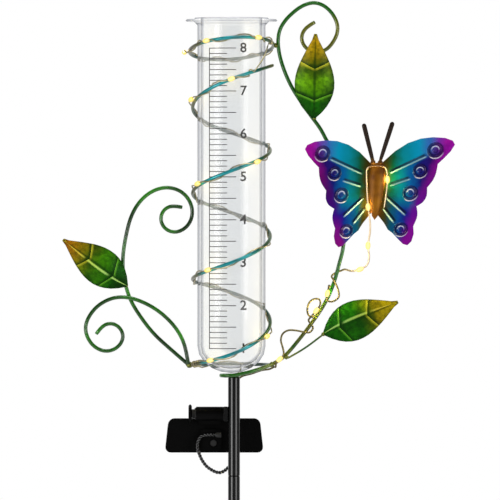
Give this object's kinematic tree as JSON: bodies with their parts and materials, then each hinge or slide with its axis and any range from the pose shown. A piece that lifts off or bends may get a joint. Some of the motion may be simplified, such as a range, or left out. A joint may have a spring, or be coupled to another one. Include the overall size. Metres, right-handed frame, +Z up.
{
  "type": "rain gauge",
  "caption": "Garden-stake rain gauge: clear graduated tube in a wire helix, wire scrolls with leaves and a butterfly, wound string lights and a tilting solar unit on the pole.",
  "frame": {"origin": "ground line, under the axis of the gauge tube", "axes": "+Z up along the pole; the front, where the scale and the butterfly face, looks along -Y; +X is to the viewer's right"},
  "size_m": [0.2329, 0.058, 0.7621],
  "materials": {
    "clear_tube": "clear",
    "teal_wire": "gloss",
    "green_wire": "gloss",
    "leaf": "gloss",
    "wing": "gloss",
    "brown": "gloss",
    "light": "clear drop, lit warm white",
    "light_wire": "enamelled wire",
    "black_steel": "gloss",
    "black_plastic": "satin",
    "grey_plastic": "satin",
    "steel": "plain",
    "cell": "gloss",
    "battery": "sleeve",
    "board": "satin",
    "lead": "satin",
    "rubber": "matt"
  },
  "bodies": {
    "root": {"wire_helix": "teal_wire", "top_ring": "teal_wire", "main_stem": "green_wire", "high_scroll": "green_wire", "low_scroll": "green_wire", "leaf_stem": "green_wire", "left_leaf": "leaf", "top_leaf": "leaf", "right_leaf": "leaf", "left_wing": "wing", "right_wing": "wing", "butterfly_body": "brown", "left_antenna": "brown", "right_antenna": "brown", "helix_light_wire": "light_wire", "stem_light_wire": "light_wire", "upper_pole": "black_steel", "extension_pole": "black_steel", "ground_pole": "black_steel", "ground_fork": "black_steel", "panel_bracket": "black_steel", "pivot_nut": "steel", "panel_lead": "lead", "inner_lead": "lead", "lead_grommet": "rubber", "light_grommet": "rubber", "light_01": "light", "light_02": "light", "light_03": "light", "light_04": "light", "light_05": "light", "light_06": "light", "light_07": "light", "light_08": "light", "light_09": "light", "light_10": "light", "light_11": "light", "light_12": "light", "light_13": "light", "light_14": "light", "light_15": "light", "light_16": "light", "light_17": "light"},
    "tube": {"gauge_tube": "clear_tube"},
    "panel": {"panel_housing": "black_plastic", "panel_bezel": "black_plastic", "solar_cell": "cell", "battery": "battery", "left_contact": "steel", "right_contact": "steel", "circuit_board": "board", "cable_gland": "grey_plastic"},
    "button": {"power_button": "grey_plastic"},
    "knob": {"thumb_screw": "black_plastic"}
  },
  "joints": [
    {"name": "tube_lift", "type": "slide", "parent": "root", "child": "tube", "axis": [0, 0, 1], "range_m": [0, 0.22]},
    {"name": "panel_tilt", "type": "hinge", "parent": "root", "child": "panel", "pos_m": [0, 0.008, 0.3868], "axis": [1, 0, 0], "range_deg": [0, 75], "deforming": ["panel_lead"]},
    {"name": "button_press", "type": "slide", "parent": "panel", "child": "button", "axis": [0, 1, 0], "range_m": [0, 0.0008], "stiffness_N_per_m": 900},
    {"name": "knob_turn", "type": "hinge", "parent": "root", "child": "knob", "pos_m": [-0.02, 0.008, 0.3868], "axis": [1, 0, 0], "range_deg": [0, 360]}
  ]
}
